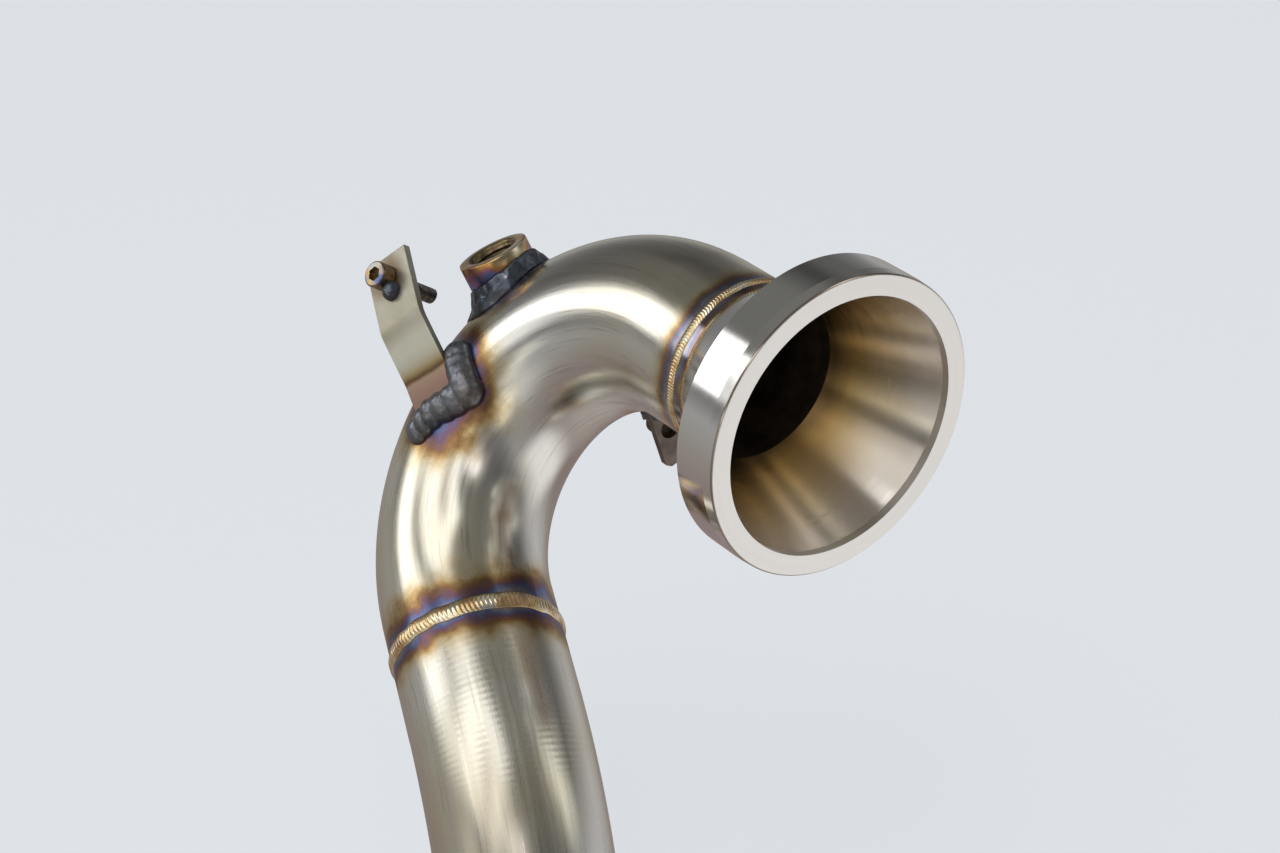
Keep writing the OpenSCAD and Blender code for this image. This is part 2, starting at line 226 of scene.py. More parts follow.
def ramp(tree, factor, stops):
    """A colour ramp; stops are (place, colour) with three or four channels."""
    node = tree.nodes.new("ShaderNodeValToRGB")
    tree.links.new(factor, node.inputs[0])
    elements = node.color_ramp.elements
    while len(elements) < len(stops):
        elements.new(0.5)
    for element, (place, colour) in zip(elements, stops):
        element.position = place
        element.color = colour if len(colour) == 4 else (*colour, 1)
    return node.outputs


def spread(tree, source, low, high, to_low=0.0, to_high=1.0):
    """Maps a value from one range to another, clamped."""
    return put(tree, "MapRange", {"Value": source},
               {"From Min": low, "From Max": high, "To Min": to_low, "To Max": to_high})[0]


# %% [markdown]
# A bent tube is polished along its length, so its fine scratches follow the bend. This group turns a point of
# the object into arc length, distance from the bend's centre and height over the bend's plane.

# %% Group: coordinates along a bend
bend_group, given, result = new_group(
    "along_bend", [("Vector", "Vector"), ("Centre", "Vector"), ("Side", "Vector"), ("Run", "Vector"),
                   ("Radius", "Float", 0.07)], [("Vector", "Vector")])
local = vector_maths(bend_group, "SUBTRACT", given["Vector"], given["Centre"])
across = vector_maths(bend_group, "CROSS_PRODUCT", given["Side"], given["Run"])
side_part = vector_maths(bend_group, "DOT_PRODUCT", local, given["Side"])
run_part = vector_maths(bend_group, "DOT_PRODUCT", local, given["Run"])
turn = maths(bend_group, "ARCTAN2", run_part, maths(bend_group, "MULTIPLY", side_part, -1.0))
arc = maths(bend_group, "MULTIPLY", turn, given["Radius"])
out_part = maths(bend_group, "SQRT", maths(bend_group, "ADD", maths(bend_group, "MULTIPLY", side_part, side_part),
                                           maths(bend_group, "MULTIPLY", run_part, run_part)))
packed = put(bend_group, "CombineXYZ", {"X": arc, "Y": out_part,
                                        "Z": vector_maths(bend_group, "DOT_PRODUCT", local, across)})[0]
bend_group.links.new(packed, result["Vector"])

# %% [markdown]
# Brush marks are noise that is stretched a long way in one direction. The same group serves the tubes, the
# strap and the turned flange, because the stretch is in the coordinates that are handed to it.

# %% Group: brush marks
brush_group, given, result = new_group(
    "brush_marks", [("Vector", "Vector"), ("Stretch", "Vector")], [("Fine", "Float"), ("Broad", "Float")])
fine_at = vector_maths(brush_group, "MULTIPLY", given["Vector"], given["Stretch"])
broad_at = vector_maths(brush_group, "MULTIPLY", fine_at, (0.5, 0.12, 0.12))
fine = put(brush_group, "TexNoise", {"Vector": fine_at}, {"Scale": 1.0, "Detail": 3.0, "Roughness": 0.6})[0]
broad = put(brush_group, "TexNoise", {"Vector": broad_at}, {"Scale": 1.0, "Detail": 2.0})[0]
brush_group.links.new(fine, result["Fine"])
brush_group.links.new(broad, result["Broad"])

# %% [markdown]
# Heat leaves rings of colour beside a weld: grey at the metal that melted, then blue, violet, brown and straw.
# The group takes the distance from the weld, wobbles it a little and reads the colour from a ramp.

# %% Group: temper colours
heat_group, given, result = new_group(
    "temper_colours", [("Vector", "Vector"), ("Distance", "Float"), ("Reach", "Float", 0.012),
                       ("Metal", "Color", (0.75, 0.7, 0.65, 1)), ("Strength", "Float", 1.0)],
    [("Color", "Color"), ("Heat", "Float")])
wobble = put(heat_group, "TexNoise", {"Vector": given["Vector"]}, {"Scale": 85.0, "Detail": 4.0})[0]
share = maths(heat_group, "DIVIDE", given["Distance"], given["Reach"])
share = maths(heat_group, "ADD", share, maths(heat_group, "MULTIPLY", maths(heat_group, "SUBTRACT", wobble, 0.5), 0.9))
tempered = ramp(heat_group, share, [
    (0.00, (0.24, 0.22, 0.24)), (0.10, (0.11, 0.14, 0.28)), (0.20, (0.15, 0.09, 0.13)), (0.33, (0.24, 0.13, 0.06)),
    (0.50, (0.46, 0.33, 0.16)), (0.75, (0.64, 0.55, 0.38)), (1.00, (0.68, 0.65, 0.58))])
fading = spread(heat_group, share, 0.45, 1.0, 1.0, 0.0)
heat = maths(heat_group, "MULTIPLY", fading, given["Strength"])
heat_group.links.new(blend_colour(heat_group, heat, given["Metal"], tempered[0]), result["Color"])
heat_group.links.new(heat, result["Heat"])

# %% [markdown]
# Small dark specks and pits sit on real parts. They are the tips of a fine noise, cut off at a threshold.

# %% Group: specks
speck_group, given, result = new_group(
    "specks", [("Vector", "Vector"), ("Scale", "Float", 900.0), ("Amount", "Float", 0.3)], [("Mask", "Float")])
grains = put(speck_group, "TexNoise", {"Vector": given["Vector"], "Scale": given["Scale"]}, {"Detail": 2.0})[0]
limit = maths(speck_group, "SUBTRACT", 1.0, given["Amount"])
speck = maths(speck_group, "MULTIPLY", maths(speck_group, "SUBTRACT", grains, limit), 12.0)
speck_group.links.new(put(speck_group, "Clamp", {"Value": speck})[0], result["Mask"])


def place_group(tree, group, links=None, values=None):
    """Places a group node and returns its outputs."""
    node = tree.nodes.new("ShaderNodeGroup")
    node.node_tree = group
    for key, value in (values or {}).items():
        node.inputs[key].default_value = value
    for key, source in (links or {}).items():
        tree.links.new(source, node.inputs[key])
    return node.outputs


def metal(name, roughness=0.3, metallic=1.0, anisotropic=0.0):
    """A new metal material. Returns it with its tree, its Principled BSDF's inputs and Object coordinates."""
    material = bpy.data.materials.new(name)
    material.use_nodes = True
    tree = material.node_tree
    sockets = tree.nodes["Principled BSDF"].inputs
    sockets["Metallic"].default_value = metallic
    sockets["Roughness"].default_value = roughness
    sockets["Anisotropic"].default_value = anisotropic
    return material, tree, sockets, put(tree, "TexCoord")["Object"]


def bump(tree, sockets, height, strength, distance, under=None):
    """Feeds a height to the surface's normal, over an earlier bump if there is one."""
    links = {"Height": height, "Normal": under} if under else {"Height": height}
    normal = put(tree, "Bump", links, {"Strength": strength, "Distance": distance})[0]
    tree.links.new(normal, sockets["Normal"])
    return normal


# %% [markdown]
# ## The tubes
# Both tubes are satin stainless, silver with a warm straw cast that comes and goes in broad patches. The
# lower tube keeps a few ripples from the mandrel where its bend begins. The
# elbow carries the temper colours of every weld on it. Each weld is told by a distance: from a plane for the
# two rings, from an axis for the boss and from a point for the strap and the rear bracket.

# %% Tube steel
SILVER = (0.69, 0.69, 0.67)
WARM = (0.62, 0.57, 0.45)
BRUSH_STRETCH = (25.0, 4200.0, 4200.0)
SCRATCH_STRETCH = (22.0, 700.0, 700.0)
RIPPLE_PITCH = 1.9 * MM
RIPPLE_SIDE = (0.806, -0.592, 0.0)


def plane_distance(tree, at, centre, normal, less=0.0):
    away = vector_maths(tree, "DOT_PRODUCT", vector_maths(tree, "SUBTRACT", at, centre), normal)
    return maths(tree, "SUBTRACT", maths(tree, "ABSOLUTE", away), less)


def axis_distance(tree, at, centre, axis, less=0.0, deep=1.0):
    """Distance from an axis. Further down the axis than deep it is the depth that counts."""
    arm = vector_maths(tree, "SUBTRACT", at, centre)
    out = maths(tree, "SUBTRACT", vector_maths(tree, "LENGTH", vector_maths(tree, "CROSS_PRODUCT", arm, axis)), less)
    down = maths(tree, "MULTIPLY", vector_maths(tree, "DOT_PRODUCT", arm, axis), -1.0)
    return maths(tree, "MAXIMUM", out, maths(tree, "SUBTRACT", down, deep))


def point_distance(tree, at, centre, less=0.0):
    return maths(tree, "SUBTRACT", vector_maths(tree, "DISTANCE", at, centre), less)


def tube_steel(name, centre, side, run, radius, welds, satin, rippled=0.0):
    """Satin tube with brush marks along its bend, mandrel ripples and temper colours beside its welds."""
    material, tree, sockets, at = metal(name, 0.2)
    along = place_group(tree, bend_group, {"Vector": at},
                        {"Centre": centre, "Side": side, "Run": run, "Radius": radius})["Vector"]
    marks = place_group(tree, brush_group, {"Vector": along}, {"Stretch": BRUSH_STRETCH})
    patches = put(tree, "TexNoise", {"Vector": at}, {"Scale": 14.0, "Detail": 3.0})[0]
    warmth = spread(tree, patches, 0.38, 0.68)
    colour = blend_colour(tree, warmth, SILVER, WARM)
    colour = blend_colour(tree, spread(tree, marks["Fine"], 0.2, 0.8, 0.0, 0.16), colour, (0.93, 0.92, 0.90))
    scratched = put(tree, "TexNoise", {"Vector": vector_maths(tree, "MULTIPLY", along, SCRATCH_STRETCH)},
                    {"Scale": 1.0, "Detail": 4.0, "Roughness": 0.7})[0]
    colour = blend_colour(tree, spread(tree, scratched, 0.56, 0.72, 0.0, 0.55), colour, (0.30, 0.27, 0.23))
    heats = []
    for distance_of, reach, strength in welds:
        heated = place_group(tree, heat_group, {"Vector": at, "Distance": distance_of(tree, at), "Metal": colour},
                             {"Reach": reach, "Strength": strength})
        colour = heated["Color"]
        heats.append(heated["Heat"])
    specked = place_group(tree, speck_group, {"Vector": at}, {"Scale": 700.0, "Amount": 0.27})["Mask"]
    colour = blend_colour(tree, maths(tree, "MULTIPLY", specked, 0.35), colour, (0.25, 0.20, 0.15))
    tree.links.new(colour, sockets["Base Color"])
    rough = spread(tree, marks["Broad"], 0.25, 0.75, satin, satin + 0.10)
    for heated in heats:
        rough = maths(tree, "ADD", rough, maths(tree, "MULTIPLY", heated, 0.06))
    tree.links.new(rough, sockets["Roughness"])
    fine = bump(tree, sockets, marks["Fine"], 0.07, 0.0002)
    if rippled:
        arc = put(tree, "SeparateXYZ", {"Vector": along})["X"]
        wave = maths(tree, "SINE", maths(tree, "MULTIPLY", arc, 2 * math.pi / RIPPLE_PITCH))
        worn = spread(tree, put(tree, "TexNoise", {"Vector": at}, {"Scale": 30.0, "Detail": 2.0})[0], 0.38, 0.62)
        worn = maths(tree, "MULTIPLY", worn, spread(tree, arc, -20 * MM, -14 * MM))
        worn = maths(tree, "MULTIPLY", worn, spread(tree, arc, 18 * MM, 32 * MM, 1.0, 0.0))
        aside = vector_maths(tree, "DOT_PRODUCT", vector_maths(tree, "SUBTRACT", at, JOINT_AT), RIPPLE_SIDE)
        worn = maths(tree, "MULTIPLY", worn, spread(tree, aside, -6 * MM, 12 * MM, 0.3, 1.0))
        bump(tree, sockets, maths(tree, "MULTIPLY", wave, worn), rippled, 0.0001, fine)
    return material


STRAP_FOOT = Vector((-62.7, 150.9, -32.2)) * MM
REAR_FOOT = Vector((-5.0, 93.5, -33.0)) * MM
SCREW_L = 25 * MM
strap_run = (stud_end - stud_axis * SCREW_L - STRAP_FOOT).normalized()
elbow_steel = tube_steel("elbow_steel", bend_centre, bend_side, flange_run, BEND_R, [
    (lambda tree, at: plane_distance(tree, at, (0, FLANGE_DEPTH, 0), flange_run, 2.2 * MM), 11 * MM, 0.9),
    (lambda tree, at: plane_distance(tree, at, JOINT_AT, JOINT_RUN, 2.0 * MM), 22 * MM, 1.0),
    (lambda tree, at: axis_distance(tree, at, boss_port, boss_axis, 16.5 * MM, 45 * MM), 12 * MM, 0.8),
    (lambda tree, at: point_distance(tree, at, STRAP_FOOT, 13 * MM), 24 * MM, 1.0),
    (lambda tree, at: point_distance(tree, at, REAR_FOOT, 8 * MM), 9 * MM, 0.8)], 0.16)
lower_steel = tube_steel("lower_steel", lower_centre, lower_side, JOINT_RUN, LOWER_BEND_R, [
    (lambda tree, at: plane_distance(tree, at, JOINT_AT, JOINT_RUN, 2.4 * MM), 17 * MM, 1.0)], 0.23, 0.26)

# %% [markdown]
# Inside, the pipe is dull and brown. The inner faces are told from the outer ones by their distance from the
# middle line, and get the second material slot.

# %% Inner walls
inner_wall, tree, sockets, at = metal("inner_wall", 0.55, 0.6)
dark_mottle = put(tree, "TexNoise", {"Vector": at}, {"Scale": 90.0, "Detail": 5.0})[0]
tree.links.new(ramp(tree, dark_mottle, [(0.3, (0.030, 0.022, 0.016)), (0.7, (0.11, 0.08, 0.055))])[0], sockets["Base Color"])
bump(tree, sockets, dark_mottle, 0.3, 0.0004)


def dress(node, outside, inside=None, is_inside=None):
    """Gives a CAD node its material, and a second one on the faces that a test picks."""
    mesh = nodes[node].data
    mesh.materials.clear()
    mesh.materials.append(outside)
    if inside:
        mesh.materials.append(inside)
        for face in mesh.polygons:
            face.material_index = int(is_inside(face.center))


INNER_R = TUBE_R - WALL / 2
dress("elbow", elbow_steel, inner_wall, lambda p: off_middle(p) < INNER_R)
dress("lower_pipe", lower_steel, inner_wall, lambda p: off_middle(p) < INNER_R)
print("tubes dressed")

# %% [markdown]
# ## The turned flange
# A lathe leaves fine rings round the axis, and a highlight on such rings stretches across them. That is what
# an anisotropic shader with a radial tangent does. The rim is nearly a mirror, the ring face is matt, and the
# inner cone turns straw near the throat.

# %% Flange steel
LIP_R = 47 * MM
LIP_DEPTH = 3 * MM
CONE_SLOPE = 0.424
THROAT_AT = 42.5 * MM


def turned_steel(name, anisotropic):
    """Lathe-turned steel. Returns its tree, sockets, point, depth from the face, radius and ring marks."""
    material, tree, sockets, at = metal(name, 0.15, anisotropic=anisotropic)
    sockets["Anisotropic Rotation"].default_value = 0.25
    tree.links.new(put(tree, "Tangent", direction_type="RADIAL", axis="Y")[0], sockets["Tangent"])
    parts = put(tree, "SeparateXYZ", {"Vector": at})
    radius = vector_maths(tree, "LENGTH", put(tree, "CombineXYZ", {"X": parts["X"], "Z": parts["Z"]})[0])
    rings = put(tree, "CombineXYZ", {"X": maths(tree, "ARCTAN2", parts["Z"], parts["X"]), "Y": radius,
                                     "Z": parts["Y"]})[0]
    marks = place_group(tree, brush_group, {"Vector": rings}, {"Stretch": (1.2, 5200.0, 5200.0)})
    bump(tree, sockets, marks["Fine"], 0.03, 0.0002)
    return material, tree, sockets, at, parts["Y"], radius, marks


flange_steel, tree, sockets, at, depth, radius, marks = turned_steel("flange_steel", 0.0)
on_face = spread(tree, depth, 0.0001, 0.0003, 1.0, 0.0)
colour = blend_colour(tree, on_face, (0.74, 0.73, 0.72), (0.84, 0.83, 0.81))
neck = place_group(tree, heat_group, {"Vector": at, "Metal": colour,
                                      "Distance": plane_distance(tree, at, (0, FLANGE_DEPTH, 0), flange_run, 1.6 * MM)},
                   {"Reach": 9 * MM, "Strength": 0.9})
colour = neck["Color"]
# A thin brown line on the chamfer at the ring face's outer edge is painted shade, standing in for the chamfer's dark
# reflection.
edge = maths(tree, "MULTIPLY", spread(tree, radius, 0.0540, 0.0544), spread(tree, depth, 0.0006, 0.0009, 1.0, 0.0))
colour = blend_colour(tree, maths(tree, "MULTIPLY", edge, 0.7), colour, (0.30, 0.21, 0.14))
colour = blend_colour(tree, spread(tree, marks["Fine"], 0.2, 0.8, 0.0, 0.10), colour, (0.96, 0.95, 0.93))
pits = place_group(tree, speck_group, {"Vector": at}, {"Scale": 520.0, "Amount": 0.25})["Mask"]
colour = blend_colour(tree, maths(tree, "MULTIPLY", pits, 0.5), colour, (0.22, 0.20, 0.18))
tree.links.new(colour, sockets["Base Color"])
rough = maths(tree, "ADD", 0.10, maths(tree, "MULTIPLY", on_face, 0.32))
tree.links.new(maths(tree, "ADD", rough, spread(tree, marks["Broad"], 0.2, 0.8, 0.0, 0.05)), sockets["Roughness"])

# %% Cone steel
cone_steel, tree, sockets, at, depth, radius, marks = turned_steel("cone_steel", 0.85)
tarnish = put(tree, "TexNoise", {"Vector": at}, {"Scale": 50.0, "Detail": 3.0})[0]
deep = spread(tree, maths(tree, "ADD", depth, maths(tree, "MULTIPLY", tarnish, 0.016)), 0.018, 0.048)
colour = ramp(tree, deep, [(0.0, (0.74, 0.70, 0.65)), (0.45, (0.70, 0.60, 0.44)), (0.8, (0.62, 0.46, 0.20)),
                           (1.0, (0.34, 0.24, 0.12))])[0]
colour = blend_colour(tree, spread(tree, marks["Fine"], 0.2, 0.8, 0.0, 0.12), colour, (0.95, 0.93, 0.88))
tree.links.new(colour, sockets["Base Color"])
in_lip = spread(tree, depth, LIP_DEPTH, LIP_DEPTH + 0.2 * MM, 1.0, 0.0)
rough = maths(tree, "ADD", spread(tree, marks["Broad"], 0.2, 0.8, 0.20, 0.28), maths(tree, "MULTIPLY", in_lip, 0.3))
tree.links.new(rough, sockets["Roughness"])


def in_mouth(p):
    """Whether a face of the flange looks into the mouth."""
    return math.hypot(p.x, p.z) < LIP_R + 0.1 * MM - CONE_SLOPE * max(p.y - LIP_DEPTH, 0) and p.y > 0.1 * MM


dress("turbo_flange", flange_steel, cone_steel, in_mouth)
flange_mesh = nodes["turbo_flange"].data
flange_mesh.materials.append(inner_wall)
for face in flange_mesh.polygons:
    if face.center.y > THROAT_AT and math.hypot(face.center.x, face.center.z) < INNER_R:
        face.material_index = 2

# %% [markdown]
# ## New pieces
# Each new piece is shaped in a bmesh and becomes an object at the origin, riding on the one body of the part.

# %% Making a piece
def piece_of(name, bm, material, replaces=None, smooth=True):
    """Turns a bmesh into an object of the part."""
    mesh = bpy.data.meshes.new(name)
    bmesh.ops.recalc_face_normals(bm, faces=bm.faces)
    bm.to_mesh(mesh)
    bm.free()
    for face in mesh.polygons:
        face.use_smooth = smooth
    mesh.materials.append(material)
    piece = bpy.data.objects.new(name, mesh)
    bpy.context.scene.collection.objects.link(piece)
    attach(piece, "root")
    if replaces:
        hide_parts(replaces)
    print(name, len(mesh.polygons), "faces")
    return piece


def chain(bm, points, closed=False):
    """A line of vertices joined by edges; a closed one returns to its start."""
    verts = [bm.verts.new(p) for p in points]
    pairs = list(zip(verts, verts[1:])) + ([(verts[-1], verts[0])] if closed else [])
    return verts + [bm.edges.new(pair) for pair in pairs]


# %% [markdown]
# ## Butt weld beads
# A bead laid by hand is a row of crescents, each one lapping the one before. The bead starts as an arc of a few
# points spun about the tube. Its points are then raised by a scallop whose phase bends back towards the
# bead's edges, which makes the crescents.

# %% Weld bead steel
bead_steel, tree, sockets, at = metal("bead_steel", 0.25)
tint = put(tree, "TexNoise", {"Vector": at}, {"Scale": 120.0, "Detail": 4.0})[0]
tree.links.new(ramp(tree, tint, [(0.32, (0.28, 0.24, 0.30)), (0.42, (0.62, 0.40, 0.20)), (0.54, (0.82, 0.66, 0.40)),
                                 (0.68, (0.84, 0.80, 0.72))])[0], sockets["Base Color"])
tree.links.new(spread(tree, tint, 0.3, 0.7, 0.34, 0.20), sockets["Roughness"])
bump(tree, sockets, put(tree, "TexNoise", {"Vector": at}, {"Scale": 1400.0, "Detail": 2.0})[0], 0.15, 0.0002)


# %% Butt weld beads
def butt_bead(name, place, width, height, ripples, node):
    """A rippled ring round the tube, at the origin of place."""
    bm = bmesh.new()
    steps = ripples * 6
    across = 14
    profile = []
    for i in range(across + 1):
        z = width * (i / across - 0.5)
        profile.append((TUBE_R - 0.03 * MM + height * (1 - (2 * z / width) ** 2), 0, z))
    bmesh.ops.spin(bm, geom=chain(bm, profile, True), cent=(0, 0, 0), axis=(0, 0, 1), dvec=(0, 0, 0),
                   angle=2 * math.pi, steps=steps, use_merge=True, use_duplicate=False)
    for vert in bm.verts:
        turn = math.atan2(vert.co.y, vert.co.x)
        rise = 1 - (2 * vert.co.z / width) ** 2
        phase = ripples * turn / (2 * math.pi) + 0.9 * (2 * vert.co.z / width) ** 2
        scallop = abs(math.sin(math.pi * phase)) ** 0.7
        lump = noise.noise(Vector((math.cos(turn), math.sin(turn), 0)) * 9 + Vector((0, 0, vert.co.z * 60)))
        out = height * rise * (0.45 * (scallop - 0.7) + 0.25 * lump)
        radial = Vector((vert.co.x, vert.co.y, 0)).normalized()
        vert.co += radial * out
        vert.co.z += width * 0.10 * noise.noise(Vector((math.cos(turn), math.sin(turn), 3)) * 5)
    bmesh.ops.transform(bm, matrix=place, verts=bm.verts)
    return piece_of(name, bm, bead_steel, node)


butt_bead("joint_bead", joint_frame, 6.6 * MM, 0.9 * MM, 120, "joint_weld")
butt_bead("flange_bead", elbow_frame, 4.0 * MM, 0.8 * MM, 170, "flange_weld")

# %% [markdown]
# ## Sensor boss
# The boss is a turned bush with an inside thread. Its wall is a profile spun about the boss axis, and its foot
# is cut to the round tube: every vertex of the bottom edge slides along the axis until it meets the wall. The
# thread is a small ridge spun down the bore, one pitch a turn.

# %% Boss steel
boss_steel, tree, sockets, at = metal("boss_steel", 0.28)
height = vector_maths(tree, "DOT_PRODUCT", vector_maths(tree, "SUBTRACT", at, boss_port), boss_axis)
sweep = put(tree, "TexNoise", {"Vector": at}, {"Scale": 95.0, "Detail": 2.0})[0]
level = maths(tree, "ADD", spread(tree, height, -10 * MM, 6 * MM),
              maths(tree, "MULTIPLY", maths(tree, "SUBTRACT", sweep, 0.5), 1.3))
tempered = ramp(tree, level, [(0.00, (0.10, 0.11, 0.17)), (0.30, (0.14, 0.17, 0.38)), (0.42, (0.28, 0.13, 0.20)),
                              (0.54, (0.42, 0.20, 0.06)), (0.70, (0.60, 0.44, 0.22)), (1.0, (0.62, 0.54, 0.42))])
tree.links.new(tempered[0], sockets["Base Color"])
turned = put(tree, "CombineXYZ", {"Y": height})[0]
marks = place_group(tree, brush_group, {"Vector": turned}, {"Stretch": (1.0, 4000.0, 1.0)})
tree.links.new(spread(tree, marks["Broad"], 0.2, 0.8, 0.20, 0.34), sockets["Roughness"])
bump(tree, sockets, marks["Fine"], 0.08, 0.0002)
# The bore and its thread are painted dark brown as painted shade for the dim bore, mottled by a fine noise.
thread_steel, tree, sockets, at = metal("thread_steel", 0.38)
dark_grain = put(tree, "TexNoise", {"Vector": at}, {"Scale": 300.0, "Detail": 4.0})[0]
tree.links.new(ramp(tree, dark_grain, [(0.35, (0.10, 0.07, 0.04)), (0.65, (0.32, 0.24, 0.14))])[0], sockets["Base Color"])
bump(tree, sockets, dark_grain, 0.2, 0.0002)

# %% Sensor boss
BOSS_R = 13.5 * MM
BOSS_LIP = 1.6 * MM
BOSS_DEEP = 11 * MM
THREAD_R = 9 * MM
THREAD_PITCH = 1.5 * MM
boss_frame = frame_of(boss_port, boss_axis, Vector((0, 0, 1)))


def sink_to_tube(point, axis):
    """Slides a point along axis, from outside, to where the tube's outer wall is."""
    high, low = point + axis * 25 * MM, point - axis * 25 * MM
    for _ in range(40):
        middle = (high + low) / 2
        high, low = (middle, low) if off_middle(middle) > TUBE_R else (high, middle)
    return high


def spin_profile(profile, place, steps=96, closed=False):
    """Spins (radius, height) points about place's Z axis."""
    bm = bmesh.new()
    bmesh.ops.spin(bm, geom=chain(bm, [(r, 0, z) for r, z in profile], closed), cent=(0, 0, 0), axis=(0, 0, 1),
                   dvec=(0, 0, 0), angle=2 * math.pi, steps=steps, use_merge=True, use_duplicate=False)
    bmesh.ops.remove_doubles(bm, verts=bm.verts, dist=0.001 * MM)
    bmesh.ops.transform(bm, matrix=place, verts=bm.verts)
    return bm


def helix(place, radius, height, pitch, turns, start, inward, steps=40):
    """A thread ridge: a small triangle spun down along place's Z axis."""
    bm = bmesh.new()
    tip = radius + (-height if inward else height)
    corners = [(radius, 0, start), (tip, 0, start - pitch * 0.44), (tip, 0, start - pitch * 0.56), (radius, 0, start - pitch)]
    bmesh.ops.spin(bm, geom=chain(bm, corners), cent=(0, 0, 0), axis=(0, 0, 1), dvec=(0, 0, -pitch / steps),
                   angle=2 * math.pi * turns, steps=steps * turns, use_merge=False, use_duplicate=False)
    bmesh.ops.remove_doubles(bm, verts=bm.verts, dist=0.002 * MM)
    bmesh.ops.transform(bm, matrix=place, verts=bm.verts)
    return bm


bm = spin_profile([(THREAD_R, -BOSS_DEEP), (THREAD_R, 0.8 * MM), (9.8 * MM, BOSS_LIP), (BOSS_R - 0.5 * MM, BOSS_LIP),
                   (BOSS_R - 0.12 * MM, BOSS_LIP - 0.15 * MM), (BOSS_R, BOSS_LIP - 0.5 * MM), (BOSS_R, -BOSS_DEEP)],
                  boss_frame, closed=True)
for vert in bm.verts:
    if (vert.co - boss_port).dot(boss_axis) < -BOSS_DEEP + 0.01 * MM:
        vert.co = sink_to_tube(vert.co, boss_axis)
boss = piece_of("sensor_boss_body", bm, boss_steel, "sensor_boss")
boss.data.materials.append(thread_steel)
for face in boss.data.polygons:
    arm = face.center - boss_port
    face.material_index = int((arm - arm.dot(boss_axis) * boss_axis).length < THREAD_R + 0.5 * MM)
piece_of("sensor_boss_thread", helix(boss_frame, THREAD_R, 0.8 * MM, THREAD_PITCH, 9, 0.6 * MM, True),
         thread_steel)

# %% [markdown]
# ## Fillet welds
# The fillets at the boss, the strap, the screw and the rear bracket are thick and lumpy. Each one starts as a
# copy of its solid and is rebuilt from small voxels into even faces. It is then melted by smoothing, swollen
# back to its size and roughened: a broad noise for the lumps, a finer one for the pits. The boss fillet is
# hollowed over the tube, and the strap fillet is drawn down along it. Two colours serve: pewter and slate.

# %% Fillet weld steel
def weld_steel(name, dark, middle, bright):
    """Blue-grey weld metal: painted shade darkens the hollows of its lumps and a painted highlight makes their tops
    silver.
    """
    material, tree, sockets, at = metal(name, 0.35, 0.95)
    lumps = put(tree, "TexNoise", {"Vector": at}, {"Scale": 190.0, "Detail": 6.0, "Roughness": 0.6})[0]
    broad = put(tree, "TexNoise", {"Vector": at}, {"Scale": 60.0, "Detail": 2.0})[0]
    # The lump noise also raises the bump: its low end is painted shade in the hollows and its high end a painted
    # highlight on the tops.
    colour = ramp(tree, lumps, [(0.30, dark), (0.50, middle), (0.64, middle), (0.74, bright)])[0]
    colour = blend_colour(tree, spread(tree, broad, 0.55, 0.72, 0.0, 0.5), colour, (0.20, 0.15, 0.11))
    tree.links.new(colour, sockets["Base Color"])
    tree.links.new(spread(tree, lumps, 0.3, 0.75, 0.48, 0.22), sockets["Roughness"])
    bump(tree, sockets, lumps, 0.35, 0.0005)
    return material


# Each weld colour runs from painted shade in the hollows, through its own middle tone, to a painted highlight on the
# lumps.
pewter_steel = weld_steel("pewter_steel", (0.065, 0.07, 0.085), (0.19, 0.20, 0.225), (0.80, 0.77, 0.70))
slate_steel = weld_steel("slate_steel", (0.035, 0.038, 0.048), (0.10, 0.115, 0.145), (0.42, 0.42, 0.42))


# %% Fillet welds
def rough_weld(name, node, material, voxel, rounds, swell, lump, pit, shape=None):
    """A copy of a weld's solid, melted into one smooth mass, swollen back and made lumpy."""
    source = nodes[node].data.copy()
    scratch = bpy.data.objects.new(name + "_source", source)
    bpy.context.scene.collection.objects.link(scratch)
    remesh = scratch.modifiers.new("voxels", "REMESH")
    remesh.mode = "VOXEL"
    remesh.voxel_size = voxel
    smooth = scratch.modifiers.new("smooth", "SMOOTH")
    smooth.factor = 0.5
    smooth.iterations = rounds
    bpy.context.view_layer.update()
    shaped = bpy.data.meshes.new_from_object(scratch.evaluated_get(bpy.context.evaluated_depsgraph_get()))
    bpy.data.objects.remove(scratch)
    bm = bmesh.new()
    bm.from_mesh(shaped)
    bpy.data.meshes.remove(shaped)
    bm.normal_update()
    for vert in bm.verts:
        broad = noise.noise(vert.co * 190)
        fine = noise.noise(vert.co * 700)
        vert.co += vert.normal * (swell + lump * broad + pit * fine)
        if shape:
            vert.co = shape(vert.co)
    return piece_of(name, bm, material, node)


def hollow(point):
    """Lowers the boss weld to a concave fillet over the tube."""
    _, index, away = middle_tree.find(point)
    middle = middle_line[index]
    arm = point - boss_port
    reach = (arm - arm.dot(boss_axis) * boss_axis).length - BOSS_R
    rest = max(0.0, 1 - reach / (7.5 * MM))
    scallop = 1 + 0.25 * noise.noise(point * 320)
    cap = TUBE_R + 0.1 * MM + 7.2 * MM * scallop * rest ** 1.5
    return middle + (point - middle) * (min(away, cap) / away)


strap_across = strap_run.cross(stud_axis).normalized()
sideways = strap_across if strap_across.x < 0 else -strap_across
WELD_DROP = 3 * MM
WELD_PULL = 3 * MM


def swing(point):
    """Draws the far end of the strap weld in towards the foot and down along the tube."""
    out = (point - STRAP_FOOT).dot(sideways)
    share = min(1.0, max(0.0, (out - 4 * MM) / (12 * MM)))
    return point - (strap_run * WELD_DROP + sideways * WELD_PULL) * share


